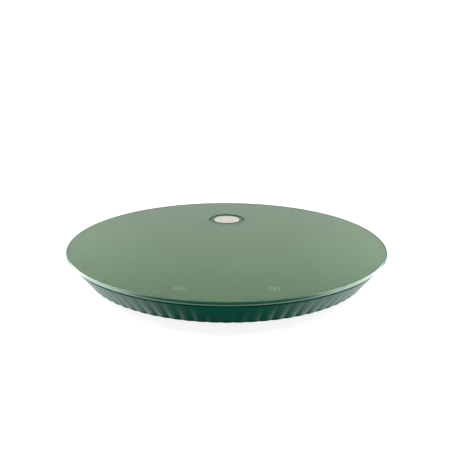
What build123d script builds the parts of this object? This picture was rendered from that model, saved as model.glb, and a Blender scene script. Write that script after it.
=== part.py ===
from build123d import *

import os
from math import atan2, cos, degrees, pi, radians, sin, sqrt

# Round kitchen platform scale: a glass platform on a low pleated body, built around one single-point load cell.
#
# Frame: +Z up, origin on the resting plane at the centre of the feet, +Y towards the round push button, millimetres.
# The glass, its carrier, the electronics and the push button hang on the free end of the load cell and move together;
# the pleated body, the bottom plate, the feet and the battery box stand still.

os.makedirs("parts", exist_ok=True)

# ------------------------------------------------------------------ driving dimensions
# heights
foot_h = 1.5                 # the body hangs this far above the table
plate_t = 2.0                # bottom plate
z_under = foot_h             # underside of the plate and lower edge of the pleats
z_floor = z_under + plate_t  # inner floor
z_rim = 17.3                 # upper rim of the pleated body
rim_gap = 0.9                # play under the glass for the weighing travel
z_glass = z_rim + rim_gap    # underside of the glass
glass_t = 3.0
z_top = z_glass + glass_t    # weighing surface
tape_t = 0.8
carrier_t = 1.6
z_car1 = z_glass - tape_t    # upper face of the carrier
z_car0 = z_car1 - carrier_t  # lower face of the carrier
travel = 0.5                 # deflection at full load

# glass
glass_r = 115.0
glass_bevel = 0.80           # upper arris
glass_arris = 1.35           # lower ground arris
button_y = 64.0              # push button centre
glass_hole_r = 14.0

# pleated body
pleats = 78
skirt_r0 = 100.0             # crest radius at the lower edge
skirt_r1 = 113.0             # rim radius under the glass
pleat_d0 = 0.65              # pleat depth at the lower edge
pleat_dm = 0.26              # pleat depth halfway up
pleat_d1 = 0.10              # pleat depth at the rim
foot_round = 0.7             # turned-in lower edge
wall_r0, wall_z0 = 100.3, 5.6   # inner wall, lower
wall_r1 = 110.7                 # inner wall at the rim
flange_r = 86.5              # inner edge of the body's bottom flange
plate_r = 95.5
plate_fit = 0.3              # gap between the plate's edge and the body
base_screw_r = 90.6          # pitch radius of the bottom plate screws
base_screw_angles = (30, 90, 150, 210, 270, 330)

# feet
foot_xy = 57.0
foot_r = 8.0
foot_recess = 0.8
panel_d = 0.35                # depth of the blank panel

# load cell, along X
cell_l, cell_w, cell_h = 75.0, 15.0, 8.0
cell_z0 = 5.0
cell_hole_x = (21.5, 31.5)   # screw holes from the centre
cell_eye_r = 2.9             # the two flexure eyes
cell_eye_x = 5.4

# battery box, three AAA cells along X
aaa_r, aaa_l = 5.25, 44.5
bat_y = 29.0
bat_pitch = 11.0
bat_in_x, bat_in_y = 26.0, 16.5    # half sizes inside
bat_wall = 1.2
bat_roof0, bat_roof1 = 14.0, 14.9
door_t = 1.6
door_gap = 0.2
hinge_x, hinge_z = -25.0, 2.3
hinge_pin_r, hinge_run = 0.55, 0.05

# keys and electronics
key_x, key_y = 29.7, -92.2
pcb_z0, pcb_t = 9.6, 1.6
pcb_r, pcb_x, pcb_y1 = 101.5, 44.0, -57.0
disp_y, disp_l, disp_w = -73.0, 50.0, 17.0

# push button
bezel_r = 13.6
cap_r = 10.0
cap_run = 0.15
bezel_in = cap_r + cap_run
press = 0.8                  # button travel

# overload stops
stop_x, stop_y = 64.0, 44.0
stop_gap = 0.6

MINZ = (Align.CENTER, Align.CENTER, Align.MIN)


# ------------------------------------------------------------------ helpers
def cyl(r, z0, z1, x=0.0, y=0.0):
    return Pos(x, y, z0) * Cylinder(r, z1 - z0, align=MINZ)


def box(x0, x1, y0, y1, z0, z1):
    return Pos((x0 + x1) / 2, (y0 + y1) / 2, z0) * Box(x1 - x0, y1 - y0, z1 - z0, align=MINZ)


def tube(r1, r0, z0, z1, x=0.0, y=0.0):
    return cyl(r1, z0, z1, x, y) - cyl(r0, z0 - 1, z1 + 1, x, y)


def cone(r_low, r_high, z0, z1, x=0.0, y=0.0):
    return Pos(x, y, z0) * Cone(r_low, r_high, z1 - z0, align=MINZ)


def turned(points, x=0.0, y=0.0):
    """Solid of revolution about Z of a closed (radius, z) outline."""
    face = make_face(Polyline(*[(r, 0, z) for r, z in points], close=True).edges())
    return Pos(x, y, 0) * revolve(face, Axis.Z, 360)


def group(*solids):
    return Compound(children=[s for many in solids for s in (many.solids() if hasattr(many, "solids") else many)])


def save(shape, name):
    solids = shape.solids()
    out = solids[0] if len(solids) == 1 else Compound(children=list(solids))
    out.label = name
    export_step(out, f"parts/{name}.step")


def coil(r, wire, pitch, z0, z1, x=0.0, y=0.0):
    """Round wire wound at mean radius r between z0 and z1."""
    h = z1 - z0 - 2 * wire
    path = Helix(pitch, h, r)
    start = path @ 0
    prof = Plane(origin=start, z_dir=path % 0) * Circle(wire)
    return Pos(x, y, z0 + wire) * sweep(prof, path, is_frenet=True)


def cable(points, r, radii):
    path = FilletPolyline(*points, radius=radii)
    prof = Plane(origin=path @ 0, z_dir=path % 0) * Circle(r)
    return sweep(prof, path)


def pan_screw(x, y, z_seat, up, shank_r, length, head_r, head_h):
    """Pan-head screw whose head sits on z_seat; up=+1 puts the shank above the head."""
    if up > 0:
        s = cyl(head_r, z_seat - head_h, z_seat, x, y) + cyl(shank_r, z_seat, z_seat + length, x, y)
        s -= cyl(head_r * 0.22, z_seat - head_h - 1, z_seat - head_h + 0.9, x, y)
        for a in (0, 90):
            s -= Pos(x, y, z_seat - head_h + 0.35) * Rot(0, 0, a) * Box(head_r * 1.15, head_r * 0.24, 0.9)
    else:
        s = cyl(head_r, z_seat, z_seat + head_h, x, y) + cyl(shank_r, z_seat - length, z_seat, x, y)
        for a in (0, 90):
            s -= Pos(x, y, z_seat + head_h - 0.35) * Rot(0, 0, a) * Box(head_r * 1.15, head_r * 0.24, 0.9)
    return s


def polar(r, a):
    return r * cos(radians(a)), r * sin(radians(a))


# ------------------------------------------------------------------ glass platform
glass = turned(
    [
        (0, z_glass),
        (glass_r - glass_arris, z_glass),
        (glass_r, z_glass + glass_arris),
        (glass_r, z_top - glass_bevel),
        (glass_r - glass_bevel, z_top),
        (0, z_top),
    ]
)
glass -= turned(
    [
        (0, z_glass - 0.5),
        (glass_hole_r + 0.3, z_glass - 0.5),
        (glass_hole_r + 0.3, z_glass),
        (glass_hole_r, z_glass + 0.3),
        (glass_hole_r, z_top - 0.35),
        (glass_hole_r + 0.35, z_top),
        (glass_hole_r + 0.35, z_top + 0.5),
        (0, z_top + 0.5),
    ],
    0,
    button_y,
)
save(glass, "glass_platform")


# ------------------------------------------------------------------ pleated body
def pleat_ring(crest, depth, z):
    """Closed ring of convex pleats, with one crest facing -Y."""
    step = 2 * pi / pleats
    first = -pi / 2 - step / 2
    edges = []
    for i in range(pleats):
        a0, am, a1 = (first + (i + k) * step for k in (0, 0.5, 1))
        low = crest - depth
        edges.append(
            ThreePointArc(
                (low * cos(a0), low * sin(a0), z),
                (crest * cos(am), crest * sin(am), z),
                (low * cos(a1), low * sin(a1), z),
            )
        )
    return Wire(edges)


def skirt_at(z):
    t = (z - z_under) / (z_rim - z_under)
    return skirt_r0 + (skirt_r1 - skirt_r0) * t, pleat_d0 + (pleat_d1 - pleat_d0) * t


z_turn = z_under + foot_round
crest_turn, depth_turn = skirt_at(z_turn)
body = Solid.make_loft(
    [
        pleat_ring(crest_turn - foot_round * 1.2, depth_turn, z_under),
        pleat_ring(crest_turn, depth_turn, z_turn),
        pleat_ring((skirt_r0 + skirt_r1) / 2, pleat_dm, (z_under + z_rim) / 2),
        pleat_ring(skirt_r1, pleat_d1, z_rim),
    ],
    ruled=True,
)
body = body - turned(
    [
        (0, z_under - 1),
        (plate_r + plate_fit, z_under - 1),
        (plate_r + plate_fit, z_floor),
        (flange_r, z_floor),
        (flange_r, wall_z0),
        (wall_r0, wall_z0),
        (wall_r1, z_rim),
        (wall_r1, z_rim + 1),
        (0, z_rim + 1),
    ]
)
for a in base_screw_angles:
    x, y = polar(base_screw_r, a)
    body += cyl(3.6, z_floor, 8.6, x, y)
for a in base_screw_angles:
    x, y = polar(base_screw_r, a)
    body -= cyl(1.3, z_floor - 0.5, 7.9, x, y)
save(body, "pleated_body")

# ------------------------------------------------------------------ bottom plate
plate = cyl(plate_r, z_under, z_floor)
# stiffening: inner ring wall and radial ribs
plate += tube(84.5, 83.0, z_floor, 5.6)
for a in (0, 22, 158, 180, 200, 340, 225, 315, 250, 290):
    r0 = 40 if a in (0, 180) else 46
    if a in (225, 315, 250, 290):
        r0 = 24
    plate += Rot(0, 0, a) * box(r0, 83.6, -0.7, 0.7, z_floor, 5.4)
# load cell pad at the fixed end
plate += box(-cell_l / 2 - 1.5, -17.0, -cell_w / 2 - 1, cell_w / 2 + 1, z_floor, cell_z0)
# posts for the overload stops
for sx in (-1, 1):
    for sy in (-1, 1):
        plate += cyl(3.6, z_floor, 12.0, sx * stop_x, sy * stop_y)
        plate += cone(5.6, 3.6, z_floor, 6.5, sx * stop_x, sy * stop_y)
        plate -= cyl(1.55, 7.0, 12.5, sx * stop_x, sy * stop_y)
# foot seats
for sx in (-1, 1):
    for sy in (-1, 1):
        plate -= cyl(foot_r + 0.1, z_under - 1, z_under + foot_recess, sx * foot_xy, sy * foot_xy)
# counterbored holes for the body screws
for a in base_screw_angles:
    x, y = polar(base_screw_r, a)
    plate -= cyl(1.7, z_under - 1, z_floor + 1, x, y)
    plate -= cyl(3.1, z_under - 1, z_under + 1.1, x, y)
# countersunk holes for the load cell screws
for hx in cell_hole_x:
    plate -= cyl(2.1, z_under - 1, cell_z0 + 1, -hx, 0)
    plate -= cone(4.2, 2.1, z_under - 0.01, z_under + 2.1, -hx, 0)
# battery opening, with the hinge sockets in its side walls and a finger dip at the latch
plate -= box(-bat_in_x, bat_in_x, bat_y - bat_in_y, bat_y + bat_in_y, z_under - 1, z_floor + 3)
plate -= Pos(hinge_x, bat_y, hinge_z) * Rot(90, 0, 0) * Cylinder(hinge_pin_r + hinge_run, 2 * bat_in_y + 2.6)
plate -= Pos(bat_in_x + 3.2, bat_y, z_under - 5.9) * Sphere(7.4)
plate -= box(bat_in_x - 1, bat_in_x + 1.1, bat_y - 4.6, bat_y + 4.6, z_under + 1.1, z_floor + 1)
# shallow blank panel for a rating plate, and a thin groove inside the edge
plate -= extrude(Plane.XY.offset(z_under) * Pos(0, -41) * RectangleRounded(56, 32, 3), panel_d)
plate -= tube(plate_r - 9.6 + 0.4, plate_r - 9.6 - 0.4, z_under - 1, z_under + 0.3)
# pilot holes for the battery box
for sx in (-1, 1):
    for sy in (-1, 1):
        plate -= cyl(0.85, z_floor - 1.5, z_floor + 3, sx * 30.6, bat_y + sy * 13.0)
save(plate, "bottom_plate")

for name, sx, sy in (
    ("foot_front_left", -1, -1),
    ("foot_front_right", 1, -1),
    ("foot_rear_left", -1, 1),
    ("foot_rear_right", 1, 1),
):
    foot = turned(
        [
            (0, 0),
            (foot_r - 1.3, 0),
            (foot_r - 0.8, 0.25),
            (foot_r - 0.25, z_under + 0.02),
            (foot_r, z_under + 0.02),
            (foot_r, z_under + foot_recess),
            (0, z_under + foot_recess),
        ],
        sx * foot_xy,
        sy * foot_xy,
    )
    save(foot, name)

save(
    group(
        *[
            pan_screw(*polar(base_screw_r, a), z_under + 1.1, 1, 1.2, 5.0, 2.8, 1.0)
            for a in base_screw_angles
        ]
    ),
    "bottom_plate_screws",
)
save(
    group(*[cyl(1.5, 7.2, z_car0 - stop_gap, sx * stop_x, sy * stop_y) for sx in (-1, 1) for sy in (-1, 1)]),
    "overload_stop_screws",
)

# ------------------------------------------------------------------ load cell
cell = box(-cell_l / 2, cell_l / 2, -cell_w / 2, cell_w / 2, cell_z0, cell_z0 + cell_h)
for sx in (-1, 1):
    cell -= Pos(sx * cell_eye_x, 0, cell_z0 + cell_h / 2) * Rot(90, 0, 0) * Cylinder(cell_eye_r, cell_w + 2)
cell -= box(-cell_eye_x, cell_eye_x, -cell_w, cell_w, cell_z0 + cell_h / 2 - 1.0, cell_z0 + cell_h / 2 + 1.0)
for sx in (-1, 1):
    for hx in cell_hole_x:
        cell -= cyl(2.05, cell_z0 - 1, cell_z0 + cell_h + 1, sx * hx, 0)
save(cell, "load_cell")
cell_top = cell_z0 + cell_h
save(
    group(
        fillet(box(-10.5, 10.5, -5.5, 5.5, cell_top, cell_top + 0.9).edges().group_by(Axis.Z)[-1], 0.6),
        fillet(box(-10.5, 10.5, -5.5, 5.5, cell_z0 - 0.9, cell_z0).edges().group_by(Axis.Z)[0], 0.6),
    ),
    "strain_gauge_coating",
)


def flat_screw(x, y, z_face, up, length):
    """M4 countersunk screw, head face at z_face; up=+1 puts the shank above the head."""
    if up > 0:
        s = cone(3.9, 2.0, z_face, z_face + 1.9, x, y) + cyl(1.98, z_face + 1.9, z_face + length, x, y)
        s -= Pos(x, y, z_face) * Box(4.2, 0.8, 1.6) + Pos(x, y, z_face) * Box(0.8, 4.2, 1.6)
    else:
        s = cone(2.0, 3.9, z_face - 1.9, z_face, x, y) + cyl(1.98, z_face - length, z_face - 1.9, x, y)
        s -= Pos(x, y, z_face) * Box(4.2, 0.8, 1.6) + Pos(x, y, z_face) * Box(0.8, 4.2, 1.6)
    return s


save(group(*[flat_screw(-hx, 0, z_under + 0.15, 1, 9.5) for hx in cell_hole_x]), "load_cell_base_screws")
save(group(*[flat_screw(hx, 0, z_car1 - 0.15, -1, 10.0) for hx in cell_hole_x]), "load_cell_carrier_screws")

# ------------------------------------------------------------------ carrier under the glass
carrier = cyl(108.0, z_car0, z_car1)
carrier += tube(105.0, 102.8, 14.0, z_car0)
for a, r0 in ((0, 40), (180, 40), (25, 44), (155, 44), (205, 40), (335, 40), (232, 74), (308, 74), (52, 66), (128, 66)):
    carrier += Rot(0, 0, a) * box(r0, 103.5, -0.8, 0.8, 14.0, z_car0)
carrier += box(17.0, cell_l / 2 + 1.5, -cell_w / 2 - 1, cell_w / 2 + 1, cell_top, z_car0)
for hx in cell_hole_x:
    carrier -= cyl(2.1, cell_top - 1, z_car1 + 1, hx, 0)
    carrier -= cone(2.1, 4.2, z_car1 - 2.1, z_car1 + 0.01, hx, 0)
# windows for the button, the display and the key springs
carrier -= cyl(13.1, z_car0 - 3, z_car1 + 1, 0, button_y)
carrier -= box(-disp_l / 2 - 1.5, disp_l / 2 + 1.5, disp_y - disp_w / 2 - 1.5, disp_y + disp_w / 2 + 1.5, z_car0 - 3, z_car1 + 1)
for sx in (-1, 1):
    carrier -= cyl(5.2, z_car0 - 0.9, z_car1 + 1, sx * key_x, key_y)
# bosses for the main board and the switch bracket
pcb_bosses = [(-38.5, -62.5), (38.5, -62.5), (-14.0, -96.0), (14.0, -96.0)]
for x, y in pcb_bosses:
    carrier += cyl(3.0, pcb_z0 + pcb_t, z_car0, x, y)
    carrier -= cyl(1.05, pcb_z0 + pcb_t - 1, z_car0 + 0.4, x, y)
bracket_x = 18.5
for sx in (-1, 1):
    carrier += cyl(3.0, 12.6, z_car0, sx * bracket_x, button_y)
    carrier -= cyl(1.05, 12.0, z_car0 + 0.4, sx * bracket_x, button_y)
save(carrier, "platform_carrier")

save(tube(107.4, 103.0, z_car1, z_glass), "adhesive_ring")
save(
    group(*[cyl(8.0, z_car1, z_glass, sx * 42, sy * 40) for sx in (-1, 1) for sy in (-1, 1)]),
    "adhesive_pads",
)

# ------------------------------------------------------------------ main board, display and touch keys
pcb = cyl(pcb_r, pcb_z0, pcb_z0 + pcb_t) & box(-pcb_x, pcb_x, -110, pcb_y1, pcb_z0 - 1, pcb_z0 + pcb_t + 1)
for x, y in pcb_bosses:
    pcb -= cyl(1.4, pcb_z0 - 1, pcb_z0 + pcb_t + 1, x, y)
save(pcb, "main_board")
save(
    group(*[pan_screw(x, y, pcb_z0, 1, 1.0, 5.4, 2.2, 1.3) for x, y in pcb_bosses]),
    "main_board_screws",
)
pcb_top = pcb_z0 + pcb_t
module = box(-disp_l / 2, disp_l / 2, disp_y - disp_w / 2, disp_y + disp_w / 2, pcb_top, 17.5)
# wells of the four seven-segment digits
seg_l, seg_w, digit_p = 5.0, 1.15, 11.2
for d in range(4):
    dx = (d - 1.5) * digit_p
    for ox, oy, horiz in (
        (0, 5.6, True), (0, 0, True), (0, -5.6, True),
        (-2.9, 2.8, False), (2.9, 2.8, False), (-2.9, -2.8, False), (2.9, -2.8, False),
    ):
        w, h = (seg_l - 1.0, seg_w) if horiz else (seg_w, seg_l - 1.2)
        module -= Pos(dx + ox, disp_y + oy, 17.5) * Box(w, h, 0.5)
save(module, "display_module")
save(
    box(-disp_l / 2 - 1, disp_l / 2 + 1, disp_y - disp_w / 2 - 1, disp_y + disp_w / 2 + 1, 17.5, z_glass),
    "display_filter",
)
for name, sx in (("touch_spring_left", -1), ("touch_spring_right", 1)):
    save(coil(3.4, 0.3, 1.25, pcb_top + 0.01, z_glass - 0.02, sx * key_x, key_y), name)
save(
    group(
        box(-7, 7, -79.0, -70.0, pcb_z0 - 1.6, pcb_z0)
    ),
    "controller_chip",
)
connectors = [(-30.0, -61.5), (0.0, -61.5), (28.0, -61.5)]
save(
    group(*[box(x - 4, x + 4, y - 2.6, y + 2.6, pcb_z0 - 2.4, pcb_z0) for x, y in connectors]),
    "board_connectors",
)
save(tube(4.5, 1.0, pcb_z0 - 2.6, pcb_z0 - 2.1, 30, -78) + cyl(4.5, pcb_z0 - 2.1, pcb_z0, 30, -78), "buzzer")

# ------------------------------------------------------------------ push button
z_step = 17.4
bezel = turned(
    [
        (11.7, 15.0),
        (12.9, 15.0),
        (12.9, z_car1),
        (15.6, z_car1),
        (15.6, z_glass),
        (bezel_r, z_glass),
        (bezel_r, z_top - 1.0),
        (bezel_r - 0.45, z_top - 0.62),
        (11.5, z_top - 0.25),
        (bezel_in + 0.25, z_top - 0.25),
        (bezel_in, z_top - 0.5),
        (bezel_in, z_step),
        (11.7, z_step),
    ],
    0,
    button_y,
)
save(bezel, "button_bezel")
cap = turned(
    [
        (0, 19.5),
        (cap_r, 19.5),
        (cap_r, z_top - 0.5),
        (cap_r - 0.12, z_top - 0.27),
        (cap_r - 0.4, z_top - 0.15),
        (0, z_top - 0.15),
    ],
    0,
    button_y,
)
cap += cyl(2.2, 18.0, 19.5, 0, button_y)
save(cap, "button_cap")
plunger = turned(
    [
        (0, 15.2),
        (2.4, 15.2),
        (2.4, 16.1),
        (11.3, 16.1),
        (11.3, z_step - 0.05),
        (9.6, z_step - 0.05),
        (9.6, 19.5),
        (2.25, 19.5),
        (2.25, 17.95),
        (0, 17.95),
    ],
    0,
    button_y,
)
save(plunger, "button_plunger")
save(coil(6.6, 0.35, 1.5, 11.21, 16.09, 0, button_y), "button_return_spring")
bracket = cyl(13.2, 9.0, 12.6, 0, button_y) + box(-22.5, 22.5, button_y - 4, button_y + 4, 11.4, 12.6)
bracket += tube(13.2, 12.0, 12.6, 14.9, 0, button_y)
bracket -= cyl(12.0, 10.2, 16, 0, button_y)
for sx in (-1, 1):
    bracket -= cyl(1.3, 10, 14, sx * bracket_x, button_y)
bracket -= Pos(0, button_y, 0) * Rot(0, 0, 227) * box(10.0, 16.0, -2.2, 2.2, 9.6, 12.2)
save(bracket, "switch_bracket")
save(
    group(*[pan_screw(sx * bracket_x, button_y, 11.4, 1, 1.0, 4.2, 2.2, 1.3) for sx in (-1, 1)]),
    "switch_bracket_screws",
)
save(cyl(11.8, 10.2, 11.2, 0, button_y), "switch_board")
switch = box(-3.1, 3.1, button_y - 3.1, button_y + 3.1, 11.21, 14.1)
switch -= cyl(1.85, 11.9, 14.5, 0, button_y)
save(switch, "tact_switch_housing")
save(cyl(1.75, 12.9, 15.19, 0, button_y), "tact_switch_stem")

# ------------------------------------------------------------------ battery box
b0x, b0y = bat_in_x + bat_wall, bat_in_y + bat_wall
bbox = box(-b0x, b0x, bat_y - b0y, bat_y + b0y, z_floor, bat_roof1)
bbox += box(-33.4, 33.4, bat_y - 15.8, bat_y - 10.2, z_floor, z_floor + 1.6)
bbox += box(-33.4, 33.4, bat_y + 10.2, bat_y + 15.8, z_floor, z_floor + 1.6)
bbox -= box(-bat_in_x, bat_in_x, bat_y - bat_in_y, bat_y + bat_in_y, z_floor - 1, bat_roof0)
# end partitions that hold the contacts
for sx in (-1, 1):
    x0, x1 = sorted((sx * 25.2, sx * bat_in_x))
    bbox += box(x0, x1, bat_y - bat_in_y, bat_y + bat_in_y, z_floor, bat_roof0)
for sx in (-1, 1):
    for sy in (-1, 1):
        bbox -= cyl(1.15, z_floor - 1, z_floor + 3, sx * 30.6, bat_y + sy * 13.0)
save(bbox, "battery_box")
save(
    group(
        *[
            pan_screw(sx * 30.6, bat_y + sy * 13.0, z_floor + 1.6, -1, 0.8, 2.9, 1.9, 1.2)
            for sx in (-1, 1)
            for sy in (-1, 1)
        ]
    ),
    "battery_box_screws",
)
z_bat = 8.6
springs, plates, k = [], [], 0
for i in (-1, 0, 1):
    y = bat_y + i * bat_pitch
    flip = 1 if i % 2 == 0 else -1
    cell_x = -flip * 1.0
    body_l = aaa_l - 1.0
    b = Pos(cell_x - flip * 0.5, y, z_bat) * Rot(0, 90, 0) * Cylinder(aaa_r - 0.05, body_l)
    b = fillet(b.edges().filter_by(GeomType.CIRCLE), 0.5)
    b += Pos(cell_x + flip * (aaa_l / 2 - 0.5), y, z_bat) * Rot(0, 90, 0) * Cylinder(1.9, 1.0)
    k += 1
    save(b, f"battery_aaa_{k}")
    neg = cell_x - flip * aaa_l / 2
    wall = -flip * 24.95
    lo, hi = sorted((neg, wall))
    sp = coil(2.6, 0.3, 0.95, 0.0, hi - lo - 0.04)
    springs.append(Pos(lo + 0.02, y, z_bat) * Rot(0, 90, 0) * sp)
    for sx in (-1, 1):
        x0, x1 = sorted((sx * 24.95, sx * 25.2))
        plates.append(box(x0, x1, y - 4.6, y + 4.6, 4.6, 13.2))
    pos_end = cell_x + flip * aaa_l / 2
    x0, x1 = sorted((pos_end, flip * 24.95))
    plates.append(Pos((x0 + x1) / 2, y, z_bat) * Rot(0, 90, 0) * Cylinder(1.6, x1 - x0))
save(group(*springs), "battery_contact_springs")
save(group(*plates), "battery_contact_plates")

# ------------------------------------------------------------------ battery door
dx1, dyh = bat_in_x - door_gap, bat_in_y - door_gap
door = box(hinge_x, dx1, bat_y - dyh, bat_y + dyh, z_under, z_under + door_t)
door += Pos(hinge_x, bat_y, hinge_z) * Rot(90, 0, 0) * Cylinder(door_t / 2, 2 * dyh)
for sy in (-1, 1):
    door += Pos(hinge_x, bat_y + sy * (dyh + 0.55), hinge_z) * Rot(90, 0, 0) * Cylinder(hinge_pin_r, 1.3)
# grip ridges beside the latch
for i in range(5):
    door -= box(15.2 + 1.5 * i, 15.8 + 1.5 * i, bat_y - 6, bat_y + 6, z_under - 1, z_under + 0.35)
# slots that free the latch tongue
door -= box(dx1 - 6.0, dx1 + 1, bat_y - 4.9, bat_y + 4.9, z_under - 1, z_under + 3)
save(door, "battery_door")
latch = box(dx1 - 5.9, dx1, bat_y - 4.2, bat_y + 4.2, z_under + 0.1, z_under + 1.1)
latch += box(dx1 - 6.0, dx1 - 5.2, bat_y - 4.2, bat_y + 4.2, z_under, z_under + door_t)
latch += box(dx1 - 0.9, dx1, bat_y - 4.2, bat_y + 4.2, z_under + 0.1, z_floor)
latch += box(dx1 - 0.9, bat_in_x + 0.7, bat_y - 4.2, bat_y + 4.2, z_under + 1.2, z_floor - 0.25)
save(latch, "battery_door_latch")
save(box(-20, 17, bat_y - 14, bat_y - 7.5, z_under + door_t, 3.28) + box(-20, 17, bat_y + 7.5, bat_y + 14, z_under + door_t, 3.28), "battery_door_pads")

# ------------------------------------------------------------------ internal leads
save(
    cable(
        [(-12.0, -cell_w / 2, 9.0), (-12.0, -13.5, 9.0), (-12.5, -24, 7.4), (-7.5, -38, 7.0), (0, -49, 8.4), (0, -58.9, 8.4)],
        1.0,
        [9, 14, 18, 9],
    ),
    "load_cell_lead",
)
save(
    cable(
        [(b0x, bat_y - 5.0, 7.4), (36.0, bat_y - 5.0, 7.4), (42.5, 8, 7.6), (42.0, -14, 8.0), (35.0, -34, 8.2), (28.0, -48.0, 8.4), (28.0, -58.9, 8.4)],
        0.9,
        [6, 18, 20, 20, 9],
    ),
    "battery_lead",
)
save(
    cable(
        [(-11.5, button_y - 12.2, 10.8), (-17.0, button_y - 14.2, 10.5), (-30.0, 49.2, 10.0), (-39.5, 38.0, 9.4), (-43.5, 20.0, 8.8), (-44.0, 0.0, 8.6), (-42.0, -20.0, 8.4), (-35.5, -38, 8.3), (-30.0, -49.0, 8.4), (-30.0, -58.9, 8.4)],
        0.8,
        [9, 9, 12, 18, 20, 18, 16, 9],
    ),
    "switch_lead",
)
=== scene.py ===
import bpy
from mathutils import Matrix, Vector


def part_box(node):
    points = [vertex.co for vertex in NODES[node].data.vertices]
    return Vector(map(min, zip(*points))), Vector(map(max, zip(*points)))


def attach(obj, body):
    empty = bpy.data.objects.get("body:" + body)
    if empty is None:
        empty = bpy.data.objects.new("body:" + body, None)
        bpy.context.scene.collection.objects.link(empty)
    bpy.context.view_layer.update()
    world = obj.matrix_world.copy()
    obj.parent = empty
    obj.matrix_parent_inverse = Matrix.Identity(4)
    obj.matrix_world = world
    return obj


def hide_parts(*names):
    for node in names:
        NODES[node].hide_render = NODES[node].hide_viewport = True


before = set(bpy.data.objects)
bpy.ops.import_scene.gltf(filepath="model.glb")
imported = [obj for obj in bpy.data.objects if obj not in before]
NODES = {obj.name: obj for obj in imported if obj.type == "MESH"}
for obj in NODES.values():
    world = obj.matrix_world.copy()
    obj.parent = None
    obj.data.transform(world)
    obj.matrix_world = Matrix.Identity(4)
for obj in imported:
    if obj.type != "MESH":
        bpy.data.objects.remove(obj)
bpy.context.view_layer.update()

from math import acos, atan2, cos, degrees, pi, radians, sin, sqrt, tan

import bmesh
import bpy
import numpy as np
from mathutils import Matrix, Vector

MM = 0.001

# ------------------------------------------------------------------ sizes read from the frame
glass_lo, glass_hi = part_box("glass_platform")
Z_TOP, Z_GLASS = glass_hi.z, glass_lo.z
GLASS_R = glass_hi.x
Z_PRINT = Z_GLASS + 0.03 * MM              # the printed back, clear of the tape under it
body_lo, body_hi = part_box("pleated_body")
Z_UNDER, Z_RIM = body_lo.z, body_hi.z
bez_lo, bez_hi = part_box("button_bezel")
cap_lo, cap_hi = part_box("button_cap")
BUTTON = Vector(((cap_lo.x + cap_hi.x) / 2, (cap_lo.y + cap_hi.y) / 2, cap_hi.z))
CAP_R = (cap_hi.x - cap_lo.x) / 2
key_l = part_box("touch_spring_left")
key_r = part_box("touch_spring_right")
KEY_L = (Vector(key_l[0]) + Vector(key_l[1])) / 2
KEY_R = (Vector(key_r[0]) + Vector(key_r[1])) / 2

# ------------------------------------------------------------------ camera
scene = bpy.context.scene
cam_data = bpy.data.cameras.new("camera")
cam = bpy.data.objects.new("camera", cam_data)
scene.collection.objects.link(cam)
ELEV, DIST = radians(17.77), 0.600
cam.location = (0.0, -DIST * cos(ELEV), Z_TOP + DIST * sin(ELEV))
cam.rotation_euler = (Matrix.Rotation(pi / 2 - ELEV, 3, "X") @ Matrix.Rotation(radians(0.2), 3, "Z")).to_euler()
cam_data.sensor_width = 36.0
cam_data.lens = 825.2 / 452 * 36.0
cam_data.shift_x = -0.75 / 452
cam_data.shift_y = 17.4 / 452
cam_data.clip_start = 0.01
cam_data.clip_end = 200.0
scene.camera = cam

scene.view_settings.view_transform = "Standard"
scene.view_settings.look = "None"
scene.view_settings.exposure = 0.0
scene.view_settings.gamma = 1.0


# ------------------------------------------------------------------ materials
def new_mat(name):
    m = bpy.data.materials.new(name)
    m.use_nodes = True
    nt = m.node_tree
    for n in list(nt.nodes):
        nt.nodes.remove(n)
    out = nt.nodes.new("ShaderNodeOutputMaterial")
    bsdf = nt.nodes.new("ShaderNodeBsdfPrincipled")
    nt.links.new(bsdf.outputs["BSDF"], out.inputs["Surface"])
    return m, nt, bsdf, out


def coords(nt):
    for n in nt.nodes:
        if n.bl_idname == "ShaderNodeTexCoord":
            return n.outputs["Object"]
    return nt.nodes.new("ShaderNodeTexCoord").outputs["Object"]


def noise(nt, scale, detail=3.0, rough=0.55, dist=0.0, stretch=None):
    n = nt.nodes.new("ShaderNodeTexNoise")
    n.inputs["Scale"].default_value = scale
    n.inputs["Detail"].default_value = detail
    n.inputs["Roughness"].default_value = rough
    n.inputs["Distortion"].default_value = dist
    src = coords(nt)
    if stretch:
        mp = nt.nodes.new("ShaderNodeMapping")
        mp.inputs["Scale"].default_value = stretch
        nt.links.new(src, mp.inputs["Vector"])
        src = mp.outputs["Vector"]
    nt.links.new(src, n.inputs["Vector"])
    return n.outputs["Fac"]


def ramp(nt, fac, stops):
    r = nt.nodes.new("ShaderNodeValToRGB")
    els = r.color_ramp.elements
    while len(els) > 1:
        els.remove(els[-1])
    els[0].position = stops[0][0]
    els[0].color = (*stops[0][1], 1.0)
    for p, c in stops[1:]:
        e = els.new(p)
        e.color = (*c, 1.0)
    nt.links.new(fac, r.inputs["Fac"])
    return r.outputs["Color"]


def spread(nt, fac, lo, hi, a=0.3, b=0.7):
    m = nt.nodes.new("ShaderNodeMapRange")
    m.inputs["From Min"].default_value = a
    m.inputs["From Max"].default_value = b
    m.inputs["To Min"].default_value = lo
    m.inputs["To Max"].default_value = hi
    nt.links.new(fac, m.inputs["Value"])
    return m.outputs["Result"]


def bump(nt, height, dist, strength=1.0, chain=None):
    b = nt.nodes.new("ShaderNodeBump")
    b.inputs["Distance"].default_value = dist
    b.inputs["Strength"].default_value = strength
    nt.links.new(height, b.inputs["Height"])
    if chain is not None:
        nt.links.new(chain, b.inputs["Normal"])
    return b.outputs["Normal"]


def shade(c, k):
    return tuple(min(1.0, max(0.0, x * k)) for x in c)


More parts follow.
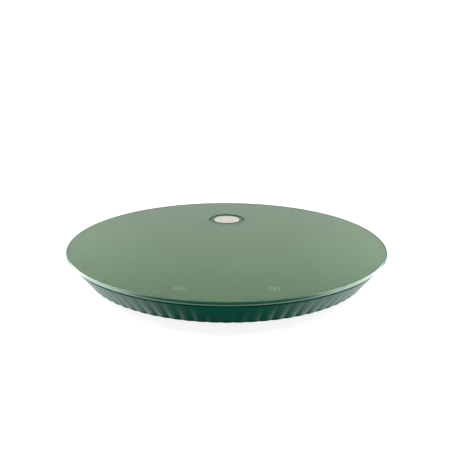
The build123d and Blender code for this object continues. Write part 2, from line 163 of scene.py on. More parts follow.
def solid_mat(name, color, rough=(0.3, 0.45), metal=0.0, vary=0.12, vscale=60.0, grain=None, ior=1.5, coat=0.0,
              coat_rough=0.05, spec=0.5, stretch=None, sheen=0.0, transmission=0.0, subsurface=0.0):
    """Procedural finish: colour drifting by +-vary, roughness between two values, and a fine grain bump (scale, depth)."""
    m, nt, bsdf, out = new_mat(name)
    f = noise(nt, vscale, 4.0, 0.55, stretch=stretch)
    nt.links.new(ramp(nt, f, [(0.25, shade(color, 1 - vary)), (0.75, shade(color, 1 + vary))]), bsdf.inputs["Base Color"])
    f2 = noise(nt, vscale * 3.1, 5.0, 0.6, stretch=stretch)
    nt.links.new(spread(nt, f2, rough[0], rough[1]), bsdf.inputs["Roughness"])
    bsdf.inputs["Metallic"].default_value = metal
    bsdf.inputs["IOR"].default_value = ior
    bsdf.inputs["Specular IOR Level"].default_value = spec
    bsdf.inputs["Coat Weight"].default_value = coat
    bsdf.inputs["Coat Roughness"].default_value = coat_rough
    bsdf.inputs["Sheen Weight"].default_value = sheen
    if subsurface:
        bsdf.inputs["Subsurface Weight"].default_value = subsurface
    if grain:
        g = noise(nt, grain[0], 3.0, 0.6, stretch=stretch)
        nt.links.new(bump(nt, g, grain[1]), bsdf.inputs["Normal"])
    return m


def inside_matt(nt, bsdf, out, color):
    """The ground edge is glossy from outside and matt where it is seen through the glass."""
    d = nt.nodes.new("ShaderNodeBsdfDiffuse")
    d.inputs["Color"].default_value = (*color, 1.0)
    mx = nt.nodes.new("ShaderNodeMixShader")
    geo_ = nt.nodes.new("ShaderNodeNewGeometry")
    nt.links.new(geo_.outputs["Backfacing"], mx.inputs["Fac"])
    nt.links.new(bsdf.outputs["BSDF"], mx.inputs[1])
    nt.links.new(d.outputs["BSDF"], mx.inputs[2])
    nt.links.new(mx.outputs["Shader"], out.inputs["Surface"])


# glossy dark green moulding of the pleated body
enamel, nt, bsdf, _ = new_mat("body_enamel")
f = noise(nt, 35.0, 3.0)
nt.links.new(ramp(nt, f, [(0.3, (0.0012, 0.047, 0.030)), (0.7, (0.0016, 0.053, 0.034))]), bsdf.inputs["Base Color"])
f2 = noise(nt, 420.0, 4.0, 0.6)
nt.links.new(spread(nt, f2, 0.10, 0.15), bsdf.inputs["Roughness"])
bsdf.inputs["IOR"].default_value = 1.5
g = noise(nt, 260.0, 2.0, 0.5)
nt.links.new(bump(nt, g, 0.00001, 0.5), bsdf.inputs["Normal"])

# clear glass with a green cast in its depth
glass_mat, nt, bsdf, out = new_mat("clear_glass")
bsdf.inputs["Base Color"].default_value = (0.97, 1.0, 0.98, 1.0)
bsdf.inputs["Transmission Weight"].default_value = 1.0
bsdf.inputs["IOR"].default_value = 1.50
f = noise(nt, 22.0, 6.0, 0.65, 0.6)
nt.links.new(spread(nt, f, 0.0, 0.035, 0.45, 0.75), bsdf.inputs["Roughness"])
vol = nt.nodes.new("ShaderNodeVolumeAbsorption")
vol.inputs["Color"].default_value = (0.55, 0.90, 0.72, 1.0)
vol.inputs["Density"].default_value = 14.0
nt.links.new(vol.outputs["Volume"], out.inputs["Volume"])

# ground edge of the glass
edge_mat, nt, bsdf, out = new_mat("ground_glass_edge")
f = noise(nt, 900.0, 3.0)
nt.links.new(ramp(nt, f, [(0.3, (0.004, 0.064, 0.026)), (0.7, (0.006, 0.074, 0.032))]), bsdf.inputs["Base Color"])
nt.links.new(spread(nt, f, 0.14, 0.20), bsdf.inputs["Roughness"])
bsdf.inputs["IOR"].default_value = 2.00
inside_matt(nt, bsdf, out, (0.010, 0.060, 0.028))

# paler ground arris along the lower edge
arris_mat, nt, bsdf, out = new_mat("ground_glass_arris")
f = noise(nt, 1200.0, 3.0)
nt.links.new(ramp(nt, f, [(0.3, (0.018, 0.112, 0.064)), (0.7, (0.024, 0.126, 0.074))]), bsdf.inputs["Base Color"])
nt.links.new(spread(nt, f, 0.20, 0.28), bsdf.inputs["Roughness"])
bsdf.inputs["IOR"].default_value = 2.40
inside_matt(nt, bsdf, out, (0.010, 0.060, 0.028))

# green ink printed on the back of the glass
ink, nt, bsdf, _ = new_mat("back_ink_green")
f = noise(nt, 9.0, 2.0)
c1 = ramp(nt, f, [(0.3, (0.027, 0.104, 0.025)), (0.7, (0.029, 0.111, 0.027))])
f = noise(nt, 2600.0, 2.0)
mixn = nt.nodes.new("ShaderNodeMix")
mixn.data_type = "RGBA"
mixn.blend_type = "MULTIPLY"
mixn.inputs["Factor"].default_value = 1.0
nt.links.new(c1, mixn.inputs["A"])
nt.links.new(ramp(nt, f, [(0.35, (0.985, 0.985, 0.985)), (0.65, (1, 1, 1))]), mixn.inputs["B"])
nt.links.new(mixn.outputs["Result"], bsdf.inputs["Base Color"])
nt.links.new(spread(nt, noise(nt, 300.0), 0.55, 0.7), bsdf.inputs["Roughness"])
bsdf.inputs["Specular IOR Level"].default_value = 0.1

icon_ink = solid_mat("icon_ink_pale", (0.33, 0.46, 0.33), rough=(0.6, 0.7), vary=0.05, vscale=900.0, spec=0.1)

# satin metal with concentric turning marks
steel_btn, nt, bsdf, _ = new_mat("satin_steel_button")
mp = nt.nodes.new("ShaderNodeMapping")
mp.inputs["Location"].default_value = (-BUTTON.x, -BUTTON.y, 0.0)
nt.links.new(coords(nt), mp.inputs["Vector"])
wave = nt.nodes.new("ShaderNodeTexWave")
wave.wave_type = "RINGS"
wave.rings_direction = "Z"
wave.inputs["Scale"].default_value = 1400.0
wave.inputs["Distortion"].default_value = 1.2
wave.inputs["Detail"].default_value = 3.0
wave.inputs["Detail Scale"].default_value = 2.0
nt.links.new(mp.outputs["Vector"], wave.inputs["Vector"])
f = noise(nt, 120.0, 4.0)
nt.links.new(ramp(nt, f, [(0.3, (0.475, 0.455, 0.42)), (0.7, (0.525, 0.505, 0.465))]), bsdf.inputs["Base Color"])
nt.links.new(spread(nt, wave.outputs["Fac"], 0.34, 0.46, 0.0, 1.0), bsdf.inputs["Roughness"])
bsdf.inputs["Metallic"].default_value = 0.85
nt.links.new(bump(nt, wave.outputs["Fac"], 0.000004, 0.35), bsdf.inputs["Normal"])

bezel_mat = solid_mat("bezel_satin_green", (0.014, 0.050, 0.018), rough=(0.26, 0.36), vary=0.1, vscale=150.0, grain=(900.0, 0.000004), ior=1.30)

under_plastic = solid_mat("underside_textured_green", (0.010, 0.095, 0.060), rough=(0.42, 0.58), vary=0.12, vscale=45.0, grain=(3200.0, 0.00003))
door_plastic = solid_mat("door_textured_green", (0.011, 0.102, 0.064), rough=(0.38, 0.52), vary=0.10, vscale=70.0, grain=(3200.0, 0.00003))
rubber = solid_mat("foot_rubber", (0.028, 0.029, 0.029), rough=(0.62, 0.85), vary=0.25, vscale=220.0, grain=(2200.0, 0.00004), spec=0.35)
grey_plastic = solid_mat("inner_grey_plastic", (0.085, 0.09, 0.09), rough=(0.40, 0.6), vary=0.15, vscale=60.0, grain=(1800.0, 0.00003))
black_plastic = solid_mat("black_moulding", (0.018, 0.018, 0.019), rough=(0.35, 0.5), vary=0.2, vscale=300.0, grain=(4000.0, 0.00001))
alu = solid_mat("milled_aluminium", (0.78, 0.79, 0.80), rough=(0.22, 0.38), metal=1.0, vary=0.05, vscale=90.0, grain=(700.0, 0.000012), stretch=(1.0, 14.0, 14.0))
zinc = solid_mat("zinc_steel", (0.60, 0.60, 0.57), rough=(0.22, 0.40), metal=1.0, vary=0.12, vscale=500.0, grain=(2500.0, 0.000008))
black_zinc = solid_mat("black_oxide_steel", (0.05, 0.05, 0.052), rough=(0.28, 0.45), metal=0.9, vary=0.2, vscale=500.0, grain=(2500.0, 0.000008))
wire = solid_mat("bright_spring_wire", (0.70, 0.70, 0.69), rough=(0.12, 0.25), metal=1.0, vary=0.06, vscale=600.0)
nickel = solid_mat("nickel_strip", (0.74, 0.71, 0.64), rough=(0.16, 0.30), metal=1.0, vary=0.08, vscale=300.0, grain=(2000.0, 0.000006))
sealant = solid_mat("white_sealant", (0.80, 0.79, 0.75), rough=(0.35, 0.55), vary=0.06, vscale=200.0, grain=(500.0, 0.00006))
foam = solid_mat("foam_tape", (0.74, 0.74, 0.72), rough=(0.8, 0.95), vary=0.10, vscale=800.0, grain=(1800.0, 0.00008), spec=0.2)
sheath = solid_mat("lead_sheath", (0.03, 0.03, 0.032), rough=(0.4, 0.55), vary=0.2, vscale=400.0, grain=(1500.0, 0.00001))
nylon = solid_mat("connector_nylon", (0.80, 0.78, 0.70), rough=(0.4, 0.5), vary=0.06, vscale=300.0, subsurface=0.1)
reflector = solid_mat("display_reflector", (0.70, 0.70, 0.67), rough=(0.45, 0.55), vary=0.04, vscale=200.0)
smoke = solid_mat("smoked_film", (0.03, 0.035, 0.032), rough=(0.08, 0.16), vary=0.1, vscale=200.0, coat=0.3)
pcb_mat, nt, bsdf, _ = new_mat("board_laminate")
vor = nt.nodes.new("ShaderNodeTexBrick")
vor.inputs["Scale"].default_value = 260.0
vor.inputs["Mortar Size"].default_value = 0.03
vor.inputs["Color1"].default_value = (0.010, 0.115, 0.040, 1)
vor.inputs["Color2"].default_value = (0.012, 0.130, 0.046, 1)
vor.inputs["Mortar"].default_value = (0.030, 0.190, 0.075, 1)
nt.links.new(coords(nt), vor.inputs["Vector"])
nt.links.new(vor.outputs["Color"], bsdf.inputs["Base Color"])
nt.links.new(spread(nt, noise(nt, 300.0), 0.25, 0.4), bsdf.inputs["Roughness"])

# battery sleeve: two-tone with a generic band, bright cap ends
cell_mats = []
for k, (a, b) in enumerate((((0.055, 0.06, 0.066), (0.55, 0.40, 0.16)),) * 3, 1):
    m, nt, bsdf, _ = new_mat(f"battery_sleeve_{k}")
    lo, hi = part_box(f"battery_aaa_{k}")
    sx = nt.nodes.new("ShaderNodeSeparateXYZ")
    nt.links.new(coords(nt), sx.inputs["Vector"])
    mr = nt.nodes.new("ShaderNodeMapRange")
    flip = k != 2
    mr.inputs["From Min"].default_value = lo.x if flip else hi.x
    mr.inputs["From Max"].default_value = hi.x if flip else lo.x
    nt.links.new(sx.outputs["X"], mr.inputs["Value"])
    col = ramp(nt, mr.outputs["Result"], [(0.0, (0.62, 0.61, 0.58)), (0.018, (0.62, 0.61, 0.58)), (0.022, a), (0.70, a), (0.705, b), (0.972, b), (0.976, (0.62, 0.61, 0.58))])
    r_ = col.node.color_ramp
    r_.interpolation = "CONSTANT"
    nt.links.new(col, bsdf.inputs["Base Color"])
    met = ramp(nt, mr.outputs["Result"], [(0.0, (1, 1, 1)), (0.02, (0.0, 0.0, 0.0)), (0.705, (0.5, 0.5, 0.5)), (0.974, (1, 1, 1))])
    met.node.color_ramp.interpolation = "CONSTANT"
    nt.links.new(met, bsdf.inputs["Metallic"])
    nt.links.new(spread(nt, noise(nt, 500.0), 0.18, 0.3), bsdf.inputs["Roughness"])
    cell_mats.append(m)

NODE_MATS = {
    "bottom_plate": under_plastic, "bottom_plate_screws": black_zinc,
    "foot_front_left": rubber, "foot_front_right": rubber, "foot_rear_left": rubber, "foot_rear_right": rubber,
    "overload_stop_screws": zinc, "load_cell": alu, "strain_gauge_coating": sealant, "load_cell_base_screws": zinc,
    "load_cell_carrier_screws": zinc, "platform_carrier": grey_plastic, "adhesive_ring": foam, "adhesive_pads": foam,
    "main_board": pcb_mat, "main_board_screws": zinc, "display_module": reflector, "display_filter": smoke,
    "touch_spring_left": wire, "touch_spring_right": wire, "controller_chip": black_plastic, "board_connectors": nylon,
    "buzzer": black_plastic, "button_bezel": bezel_mat, "button_cap": steel_btn, "button_plunger": black_plastic,
    "button_return_spring": wire, "switch_bracket": grey_plastic, "switch_bracket_screws": zinc, "switch_board": pcb_mat,
    "tact_switch_housing": black_plastic, "tact_switch_stem": nylon, "battery_box": grey_plastic, "battery_box_screws": zinc,
    "battery_aaa_1": cell_mats[0], "battery_aaa_2": cell_mats[1], "battery_aaa_3": cell_mats[2],
    "battery_contact_springs": wire, "battery_contact_plates": nickel, "battery_door": door_plastic,
    "battery_door_latch": door_plastic, "battery_door_pads": foam, "load_cell_lead": sheath, "battery_lead": sheath,
    "switch_lead": sheath, "glass_platform": glass_mat, "pleated_body": enamel,
}
for name, m in NODE_MATS.items():
    o = NODES[name]
    for s in o.material_slots:
        s.material = m
    if not o.material_slots:
        o.data.materials.append(m)


# ------------------------------------------------------------------ mesh helpers
def obj_from(name, verts, faces, mats, mat_index=None, smooth=True, sharp=None):
    me = bpy.data.meshes.new(name)
    me.from_pydata([tuple(v) for v in verts], [], faces)
    me.validate()
    for m in mats:
        me.materials.append(m)
    if mat_index is not None:
        me.polygons.foreach_set("material_index", np.array(mat_index, np.int32))
    me.polygons.foreach_set("use_smooth", np.full(len(me.polygons), smooth))
    if sharp is not None:
        me.set_sharp_from_angle(angle=radians(sharp))
    me.update()
    o = bpy.data.objects.new(name, me)
    scene.collection.objects.link(o)
    return o


def arc(cx, cz, r, a0, a1, n):
    """Points of a profile arc, degrees from +r axis towards +z."""
    return [(cx + r * cos(radians(a0 + (a1 - a0) * i / n)), cz + r * sin(radians(a0 + (a1 - a0) * i / n))) for i in range(n + 1)]


def lathe(name, profile, seg, mats, centre=(0, 0), closed=True, sharp=35, mat_of=None):
    """Turned piece about Z: profile is (r, z) in metres, anticlockwise seen from -Y with r to the right. r = 0 points become poles."""
    verts, rings = [], []
    for r, z in profile:
        if r < 1e-9:
            rings.append([len(verts)])
            verts.append((centre[0], centre[1], z))
        else:
            rings.append(list(range(len(verts), len(verts) + seg)))
            for i in range(seg):
                a = 2 * pi * i / seg
                verts.append((centre[0] + r * cos(a), centre[1] + r * sin(a), z))
    faces, idx = [], []
    n = len(profile)
    for k in range(n if closed else n - 1):
        a, b = rings[k], rings[(k + 1) % n]
        mi = mat_of(k) if mat_of else 0
        if len(a) == 1 and len(b) == 1:
            continue
        for i in range(seg):
            j = (i + 1) % seg
            if len(a) == 1:
                f = (a[0], b[j], b[i])
            elif len(b) == 1:
                f = (a[i], a[j], b[0])
            else:
                f = (a[i], a[j], b[j], b[i])
            faces.append(f)
            idx.append(mi)
    return obj_from(name, verts, faces, mats, idx, True, sharp)


def rounded(pts, rad, n=4):
    """Polyline (r, z) with each inner corner replaced by a small arc."""
    out = [pts[0]]
    for p, c, q in zip(pts, pts[1:], pts[2:]):
        p, c, q = Vector(p), Vector(c), Vector(q)
        u, v = (p - c).normalized(), (q - c).normalized()
        half = acos(max(-1.0, min(1.0, u.dot(v)))) / 2
        t = min(rad / tan(half), 0.45 * (p - c).length, 0.45 * (q - c).length)
        a, b = c + u * t, c + v * t
        for i in range(n + 1):
            f = i / n
            w = a * (1 - f) ** 2 + c * 2 * f * (1 - f) + b * f * f
            out.append((w.x, w.y))
    out.append(pts[-1])
    return out


# ------------------------------------------------------------------ glass disc with printed back
def glass_disc():
    seg, hseg = 720, 160
    hole_r = 14.0 * MM
    bt, bb = 0.80 * MM, 1.35 * MM          # upper arris, lower ground arris
    Z_GLASS = Z_PRINT
    R = GLASS_R
    rim = rounded([(R - 2.6 * MM, Z_TOP), (R - bt, Z_TOP), (R, Z_TOP - bt), (R, Z_GLASS + bb), (R - bb, Z_GLASS), (R - 2.6 * MM, Z_GLASS)], 0.30 * MM)
    slope = [abs(atan2(rim[k][1] - rim[k + 1][1], rim[k + 1][0] - rim[k][0])) for k in range(len(rim) - 1)]
    bm = bmesh.new()
    rings = []
    for r, z in rim:
        rings.append([bm.verts.new((r * cos(2 * pi * i / seg), r * sin(2 * pi * i / seg), z)) for i in range(seg)])
    hb = 0.35 * MM
    hole = [(hole_r + 1.2 * MM, Z_TOP)] + [(hole_r + hb - hb * sin(radians(a)), Z_TOP - hb + hb * cos(radians(a))) for a in (0, 22.5, 45, 67.5, 90)]
    hole += [(hole_r, Z_GLASS + 0.3 * MM), (hole_r + 0.3 * MM, Z_GLASS), (hole_r + 1.2 * MM, Z_GLASS)]
    hrings = []
    for r, z in hole:
        hrings.append([bm.verts.new((BUTTON.x + r * cos(2 * pi * i / hseg), BUTTON.y + r * sin(2 * pi * i / hseg), z)) for i in range(hseg)])
    # 0 polished glass, 1 ground edge, 2 ink on the back
    for k in range(len(rings) - 1):
        mi = 1
        if slope[k] < radians(4):
            mi = 0
        if slope[k] > radians(100):
            mi = 3
        if slope[k] > radians(176):
            mi = 2
        for i in range(seg):
            j = (i + 1) % seg
            f = bm.faces.new((rings[k][i], rings[k + 1][i], rings[k + 1][j], rings[k][j]))
            f.material_index = mi
            f.smooth = True
    for k in range(len(hrings) - 1):
        mi = 1 if hole[k][1] < Z_TOP - hb * 0.5 and hole[k + 1][1] < Z_TOP - hb * 0.9 else 0
        if hole[k][1] < Z_GLASS + 1e-7:
            mi = 2
        for i in range(hseg):
            j = (i + 1) % hseg
            f = bm.faces.new((hrings[k][j], hrings[k + 1][j], hrings[k + 1][i], hrings[k][i]))
            f.material_index = mi
            f.smooth = True
    bm.edges.index_update()
    for loop_o, loop_h, mi, up in ((rings[0], hrings[0], 0, 1), (rings[-1], hrings[-1], 2, -1)):
        es = []
        for L in (loop_o, loop_h):
            for i in range(len(L)):
                es.append(bm.edges.get((L[i], L[(i + 1) % len(L)])))
        res = bmesh.ops.triangle_fill(bm, use_beauty=True, use_dissolve=False, edges=es, normal=(0, 0, up))
        for g_ in res["geom"]:
            if isinstance(g_, bmesh.types.BMFace):
                g_.material_index = mi
                g_.smooth = True
                if g_.normal.z * up < 0:
                    g_.normal_flip()
    bmesh.ops.recalc_face_normals(bm, faces=bm.faces)
    me = bpy.data.meshes.new("glass_disc")
    bm.to_mesh(me)
    bm.free()
    for m in (glass_mat, edge_mat, ink, arris_mat):
        me.materials.append(m)
    me.set_sharp_from_angle(angle=radians(40))
    o = bpy.data.objects.new("glass_disc", me)
    scene.collection.objects.link(o)
    return o


glass = glass_disc()
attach(glass, "platform")
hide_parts("glass_platform")


# ------------------------------------------------------------------ pleated body
PLEATS, PLEAT_D0, PLEAT_D1 = 78, 0.65, 0.10


def pleat_wave(n):
    """One pleat, n samples: 0 at the crest, 1 in the valley, valleys rounded."""
    fine = 64
    t = (np.arange(fine) + 0.5) / fine * 2 - 1
    w = t * t
    ker = int(fine * 0.10)
    w3 = np.tile(w, 3)
    for _ in range(2):
        w3 = np.convolve(w3, np.ones(ker) / ker, mode="same")
    w = w3[fine:2 * fine]
    w = (w - w.min()) / (w.max() - w.min())
    x = (np.arange(n)) / n * fine - 0.5
    return np.interp(x % fine, np.arange(fine), w, period=fine)


def pleated_body():
    pleats, per = PLEATS, 24
    cols = pleats * per
    wave_ = np.tile(pleat_wave(per), pleats)
    ang = -pi / 2 + 2 * pi * (np.arange(cols) + per / 2) / cols        # a crest faces -Y
    r0, r1, d0, d1 = 100.0, 113.0, PLEAT_D0, PLEAT_D1
    zu, zr = Z_UNDER / MM, Z_RIM / MM
    crest = lambda z: r0 + (r1 - r0) * (z - zu) / (zr - zu)
    depth = lambda z: d1 + (d0 - d1) * (1 - (z - zu) / (zr - zu)) ** 1.8
    st = []                                                # (crest radius, pleat depth, z)
    st.append((110.7, 0.0, zr))
    st.append((112.2, 0.10, zr))
    st.append((crest(zr) - 0.35, 0.24, zr))
    st.append((crest(zr) - 0.12, 0.28, zr - 0.10))
    st.append((crest(zr - 0.35) - 0.0, depth(zr - 0.35), zr - 0.35))
    for z in np.linspace(zr - 1.2, zu + 1.5, 12):
        st.append((crest(z), depth(z), z))
    rb = 0.9                                               # turned-in lower edge
    for a in (15, 35, 55, 75, 90):
        s = sin(radians(a))
        z = zu + rb * (1 - s)
        z = max(z, zu)
        st.append((crest(zu + rb) - rb * 0.55 * (1 - cos(radians(a))) - 0.35 * s, depth(zu + rb), z))
    st.append((crest(zu + rb) - 1.6, 1.05, zu))
    st.append((97.0, 0.35, zu))
    st.append((96.1, 0.0, zu))
    st.append((95.8, 0.0, zu + 0.3))
    st.append((95.8, 0.0, zu + 2.0))
    st.append((86.5, 0.0, zu + 2.0))
    st.append((86.5, 0.0, 5.6))
    st.append((100.3, 0.0, 5.6))
    verts = []
    for r, d, z in st:
        rr = (r - d * wave_) * MM
        verts.append(np.stack([rr * np.cos(ang), rr * np.sin(ang), np.full(cols, z * MM)], 1))
    verts = np.concatenate(verts)
    faces = []
    ns = len(st)
    i = np.arange(cols)
    j = (i + 1) % cols
    for k in range(ns):
        a, b = k * cols, ((k + 1) % ns) * cols
        faces += np.stack([a + i, b + i, b + j, a + j], 1).tolist()
    return obj_from("pleated_skirt", verts, faces, [enamel], None, True, 38)


skirt = pleated_body()
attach(skirt, "base")
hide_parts("pleated_body")

# ------------------------------------------------------------------ push button
cx, cy = BUTTON.x, BUTTON.y
zc = cap_hi.z
cap_prof = [(0, cap_lo.z)] + [(2.2 * MM, cap_lo.z), (2.2 * MM, cap_lo.z + 1.5 * MM), (CAP_R - 0.15 * MM, cap_lo.z + 1.5 * MM), (CAP_R, cap_lo.z + 1.65 * MM)]
cap_prof += [(CAP_R - 0.35 * MM + 0.35 * MM * cos(radians(a)), zc - 0.35 * MM + 0.35 * MM * sin(radians(a))) for a in (0, 18, 36, 54, 72, 90)]
cap_prof += [(CAP_R - 0.9 * MM, zc), (CAP_R * 0.6, zc - 0.03 * MM), (CAP_R * 0.25, zc - 0.05 * MM), (0, zc - 0.05 * MM)]
cap = lathe("button_cap_turned", cap_prof, 192, [steel_btn], (cx, cy), closed=False, sharp=35)
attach(cap, "button")
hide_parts("button_cap")

# ------------------------------------------------------------------ key marks printed under the glass
Z_INK = Z_PRINT + 0.02 * MM


def flat_piece(name, loops, z, th, mat):
    """Thin printed mark: each loop is an outer outline with optional hole outlines, in metres."""
    bm = bmesh.new()
    for outer, holes in loops:
        es = []
        for L in [outer] + holes:
            vs = [bm.verts.new((x, y, z)) for x, y in L]
            es += [bm.edges.new((vs[i], vs[(i + 1) % len(vs)])) for i in range(len(vs))]
        bmesh.ops.triangle_fill(bm, use_beauty=True, use_dissolve=False, edges=es, normal=(0, 0, 1))
    for f_ in bm.faces:
        if f_.normal.z < 0:
            f_.normal_flip()
    ext = bmesh.ops.extrude_face_region(bm, geom=list(bm.faces))
    for v in [g_ for g_ in ext["geom"] if isinstance(g_, bmesh.types.BMVert)]:
        v.co.z += th
    bmesh.ops.recalc_face_normals(bm, faces=bm.faces)
    me = bpy.data.meshes.new(name)
    bm.to_mesh(me)
    bm.free()
    me.materials.append(mat)
    o = bpy.data.objects.new(name, me)
    scene.collection.objects.link(o)
    return o


def circle(x, y, r, n=72):
    return [(x + r * cos(2 * pi * i / n), y + r * sin(2 * pi * i / n)) for i in range(n)]


def rect(x0, x1, y0, y1):
    return [(x0, y0), (x1, y0), (x1, y1), (x0, y1)]


def key_mark(name, c, glyphs):
    x, y = c.x + 0.23 * MM, c.y + 3.0 * MM
    ring_o, ring_i = 3.50 * MM, 3.10 * MM
    loops = [(circle(x, y, ring_o), [circle(x, y, ring_i)])]
    for gl in glyphs:
        loops.append(([(x + px * MM, y + py * MM) for px, py in gl], []))
    o = flat_piece(name, loops, Z_INK, 0.02 * MM, icon_ink)
    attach(o, "platform")
    return o


# tare: two small opposed wedges; on/off: an upright bar
tare = [[(-1.75, -1.15), (-0.30, 0.0), (-1.75, 1.15)], [(1.75, -1.15), (1.75, 1.15), (0.30, 0.0)]]
power = [[(-0.35, -1.3), (0.35, -1.3), (0.35, 1.3), (-0.35, 1.3)]]
key_mark("key_mark_left", KEY_L, tare)
key_mark("key_mark_right", KEY_R, power)

# ------------------------------------------------------------------ floor and light
bpy.ops.mesh.primitive_plane_add(size=60, location=(0, 0, 0))
floor = bpy.context.object
floor.name = "floor"
floor_mat, nt, bsdf, _ = new_mat("floor_white")
nt.links.new(ramp(nt, noise(nt, 3.0), [(0.3, (0.30, 0.30, 0.30)), (0.7, (0.32, 0.32, 0.32))]), bsdf.inputs["Base Color"])
bsdf.inputs["Roughness"].default_value = 0.9
bsdf.inputs["Specular IOR Level"].default_value = 0.0
bsdf.inputs["Emission Color"].default_value = (1.0, 1.0, 1.0, 1.0)
bsdf.inputs["Emission Strength"].default_value = 0.84
# one-sided, like a sheet seen only from above
clear = nt.nodes.new("ShaderNodeBsdfTransparent")
one_side = nt.nodes.new("ShaderNodeMixShader")
geo = nt.nodes.new("ShaderNodeNewGeometry")
nt.links.new(geo.outputs["Backfacing"], one_side.inputs["Fac"])
nt.links.new(bsdf.outputs["BSDF"], one_side.inputs[1])
nt.links.new(clear.outputs["BSDF"], one_side.inputs[2])
nt.links.new(one_side.outputs["Shader"], [n for n in nt.nodes if n.bl_idname == "ShaderNodeOutputMaterial"][0].inputs["Surface"])
floor.data.materials.append(floor_mat)
floor.visible_glossy = False
floor.visible_transmission = False

world = bpy.data.worlds.new("studio")
scene.world = world
world.use_nodes = True
wt = world.node_tree
for n in list(wt.nodes):
    wt.nodes.remove(n)
wo = wt.nodes.new("ShaderNodeOutputWorld")
bg = wt.nodes.new("ShaderNodeBackground")
tc = wt.nodes.new("ShaderNodeTexCoord")
sep = wt.nodes.new("ShaderNodeSeparateXYZ")
wt.links.new(tc.outputs["Generated"], sep.inputs["Vector"])


def wmath(op, a, b=None):
    n = wt.nodes.new("ShaderNodeMath")
    n.operation = op
    for i, v in enumerate((a, b)):
        if v is None:
            continue
        if isinstance(v, (int, float)):
            n.inputs[i].default_value = v
        else:
            wt.links.new(v, n.inputs[i])
    return n.outputs[0]


def wstep(v, a, b):
    n = wt.nodes.new("ShaderNodeMapRange")
    n.interpolation_type = "SMOOTHSTEP"
    n.inputs["From Min"].default_value = a
    n.inputs["From Max"].default_value = b
    wt.links.new(v, n.inputs["Value"])
    return n.outputs["Result"]


X, Y, Z = (sep.outputs[k] for k in "XYZ")
absx = wmath("ABSOLUTE", X)
flat = wmath("SQRT", wmath("ADD", wmath("ADD", wmath("MULTIPLY", X, X), wmath("MULTIPLY", Y, Y)), 1e-4))
yaw = wmath("DIVIDE", Y, flat)                      # -1 in front, +1 behind
# above the horizon: even and soft behind, dim in front, brighter overhead
back = wstep(Y, -0.25, 0.15)
high = wstep(Z, 0.45, 0.80)
upper = wmath("ADD", 0.91, wmath("MULTIPLY", high, 1.2))
upper = wmath("SUBTRACT", upper, wmath("MULTIPLY", wstep(Z, 0.30, 0.40), 0.16))
upper = wmath("ADD", upper, wmath("MULTIPLY", wstep(absx, 0.07, 0.22), 0.14))
upper = wmath("ADD", upper, wmath("MULTIPLY", wstep(X, 0.05, 0.20), 0.06))
front = wmath("SUBTRACT", 0.38, wmath("MULTIPLY", wstep(Z, 0.50, 0.80), 0.33))
upper = wmath("MULTIPLY", upper, wmath("ADD", back, wmath("MULTIPLY", front, wmath("SUBTRACT", 1.0, back))))
# below it: bright away to the back and sides, dim straight down and in front
under = wmath("MULTIPLY", wstep(wmath("MAXIMUM", Y, wmath("MULTIPLY", absx, 0.9)), 0.20, 0.52), 0.64)
dip = wmath("MULTIPLY", wstep(Z, -0.32, -0.20), wstep(yaw, 0.80, 0.92))
under = wmath("MULTIPLY", under, wmath("SUBTRACT", 1.0, wmath("MULTIPLY", dip, 0.6)))
under = wmath("MULTIPLY", under, wmath("ADD", 0.03, wmath("MULTIPLY", back, 0.97)))
glow = wmath("MULTIPLY", wstep(yaw, 0.80, 0.92), wmath("MULTIPLY", wstep(Z, -0.48, -0.38), wmath("SUBTRACT", 1.0, wstep(Z, -0.28, -0.22))))
under = wmath("ADD", under, wmath("MULTIPLY", glow, 0.55))
sky = wstep(Z, -0.04, 0.04)
level = wmath("ADD", wmath("MULTIPLY", upper, sky), wmath("MULTIPLY", under, wmath("SUBTRACT", 1.0, sky)))
band = wmath("MULTIPLY", wmath("SUBTRACT", 1.0, wstep(wmath("ABSOLUTE", Z), 0.10, 0.20)), wstep(yaw, 0.55, 0.80))
level = wmath("MULTIPLY", level, wmath("SUBTRACT", 1.0, wmath("MULTIPLY", band, 0.55)))
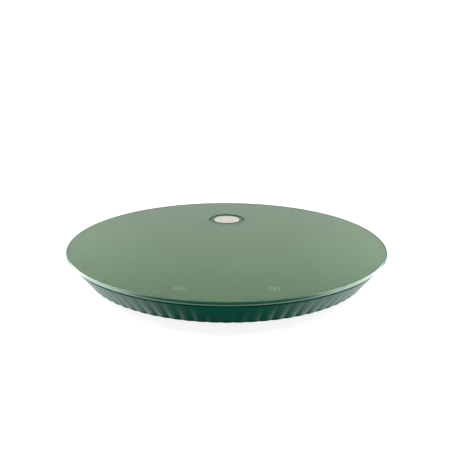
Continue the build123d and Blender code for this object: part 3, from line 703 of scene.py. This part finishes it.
# bright panels at both sides: a low one that the edges mirror, and a high one over it
low = wmath("MULTIPLY", wstep(absx, 0.42, 0.62), wmath("MULTIPLY", wstep(yaw, -0.62, -0.15), wmath("SUBTRACT", 1.0, wstep(yaw, 0.70, 0.90))))
low = wmath("MULTIPLY", low, wmath("MULTIPLY", wstep(Z, -0.55, -0.38), wmath("SUBTRACT", 1.0, wstep(Z, -0.24, -0.12))))
tall = wmath("MULTIPLY", wmath("MULTIPLY", wstep(absx, 0.48, 0.62), wmath("SUBTRACT", 1.0, wstep(absx, 0.78, 0.88))), wstep(yaw, -0.10, 0.80))
tall = wmath("MULTIPLY", tall, wmath("MULTIPLY", wstep(Z, 0.16, 0.30), wmath("SUBTRACT", 1.0, wstep(Z, 0.78, 0.92))))
level = wmath("ADD", level, wmath("MULTIPLY", low, 4.4))
level = wmath("ADD", level, wmath("MULTIPLY", tall, 6.0))
wt.links.new(level, bg.inputs["Strength"])
bg.inputs["Color"].default_value = (1.0, 1.0, 1.0, 1.0)
wt.links.new(bg.outputs["Background"], wo.inputs["Surface"])


def softbox(name, loc, target, size, power):
    ld = bpy.data.lights.new(name, "AREA")
    ld.shape = "RECTANGLE"
    ld.size, ld.size_y = size
    ld.energy = power
    o = bpy.data.objects.new(name, ld)
    scene.collection.objects.link(o)
    o.location = loc
    d = Vector(target) - Vector(loc)
    o.rotation_euler = d.to_track_quat("-Z", "Y").to_euler()
    return o


for lamp in (
    softbox("side_left", (-0.17, -0.02, 0.15), (-0.09, -0.02, 0.02), (0.16, 0.10), 0.50),
    softbox("side_right", (0.17, -0.02, 0.15), (0.09, -0.02, 0.02), (0.16, 0.10), 0.50),
    softbox("back_fill", (0.0, 0.17, 0.15), (0.0, 0.09, 0.02), (0.20, 0.10), 0.16),
    softbox("wall_left", (-0.25, -0.04, 0.010), (-0.09, -0.04, 0.010), (0.22, 0.016), 0.8),
    softbox("wall_right", (0.25, -0.04, 0.010), (0.09, -0.04, 0.010), (0.22, 0.016), 0.8),
):
    lamp.visible_glossy = False
    lamp.visible_camera = False
